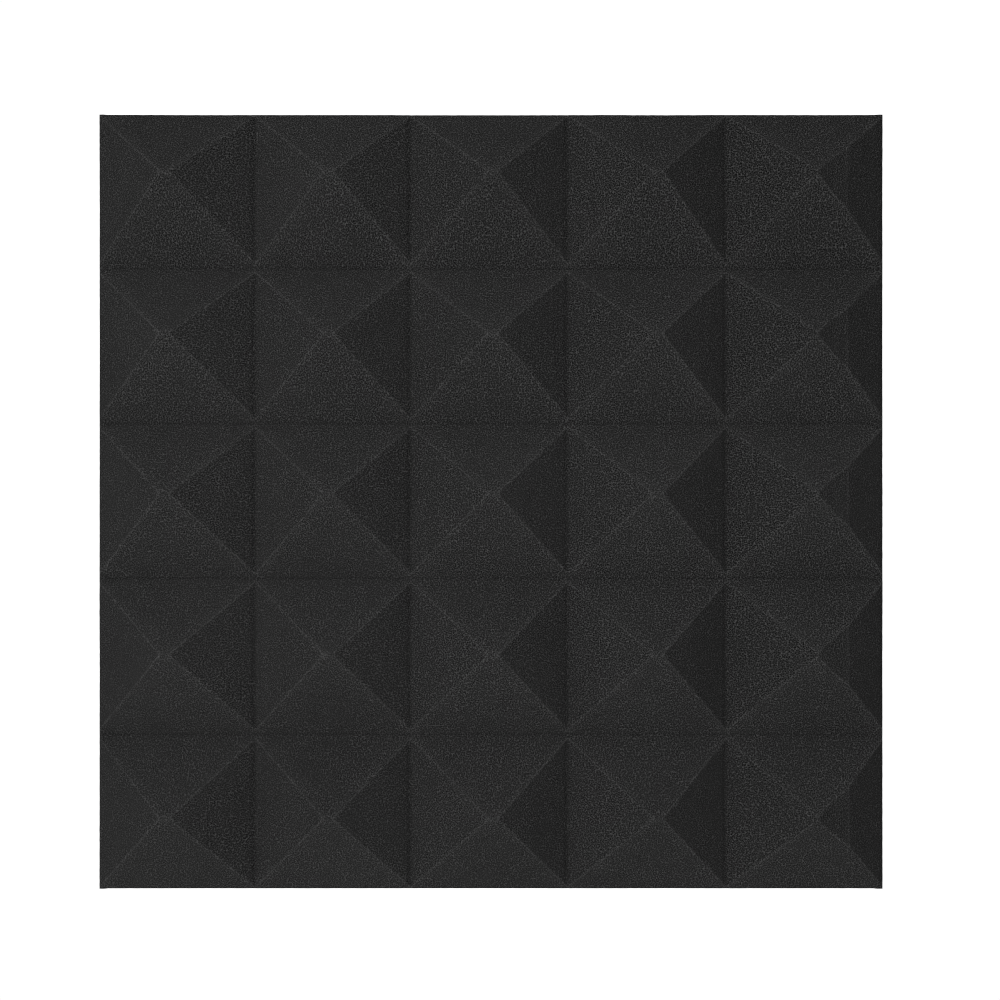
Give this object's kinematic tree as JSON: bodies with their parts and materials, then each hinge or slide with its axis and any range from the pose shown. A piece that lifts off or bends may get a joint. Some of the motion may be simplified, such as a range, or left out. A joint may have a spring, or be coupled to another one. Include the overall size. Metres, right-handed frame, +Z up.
{
  "type": "acoustic foam panel",
  "caption": "Square charcoal acoustic foam tile with a grid of pyramids on its face, and tape pads with peel-off paper liners on its back.",
  "frame": {"origin": "middle of the panel in the plane of the wall, which is the outer face of the paper liners", "axes": "+Z up the panel, +X across it to the right as seen from the room, +Y into the wall; the pyramids point along -Y"},
  "size_m": [0.305, 0.0521, 0.3014],
  "materials": {
    "foam": "matte",
    "tape": "matte",
    "liner": "satin"
  },
  "bodies": {
    "panel": {"foam_panel": "foam", "tape_pad_upper_left": "tape", "tape_pad_upper_right": "tape", "tape_pad_lower_left": "tape", "tape_pad_lower_right": "tape", "tape_pad_middle": "tape"},
    "liner_upper_left": {"release_liner_upper_left": "liner"},
    "liner_upper_right": {"release_liner_upper_right": "liner"},
    "liner_lower_left": {"release_liner_lower_left": "liner"},
    "liner_lower_right": {"release_liner_lower_right": "liner"},
    "liner_middle": {"release_liner_middle": "liner"}
  },
  "joints": [
    {"name": "peel_upper_left", "type": "hinge", "parent": "panel", "child": "liner_upper_left", "pos_m": [-0.0875, -0.00015, 0.11075], "axis": [0, 0, -1], "range_deg": [0, 150]},
    {"name": "peel_upper_right", "type": "hinge", "parent": "panel", "child": "liner_upper_right", "pos_m": [0.0875, -0.00015, 0.11075], "axis": [0, 0, 1], "range_deg": [0, 150]},
    {"name": "peel_lower_left", "type": "hinge", "parent": "panel", "child": "liner_lower_left", "pos_m": [-0.0875, -0.00015, -0.11075], "axis": [0, 0, -1], "range_deg": [0, 150]},
    {"name": "peel_lower_right", "type": "hinge", "parent": "panel", "child": "liner_lower_right", "pos_m": [0.0875, -0.00015, -0.11075], "axis": [0, 0, 1], "range_deg": [0, 150]},
    {"name": "peel_middle", "type": "hinge", "parent": "panel", "child": "liner_middle", "pos_m": [0, -0.00015, 0.025], "axis": [1, 0, 0], "range_deg": [0, 150]}
  ]
}
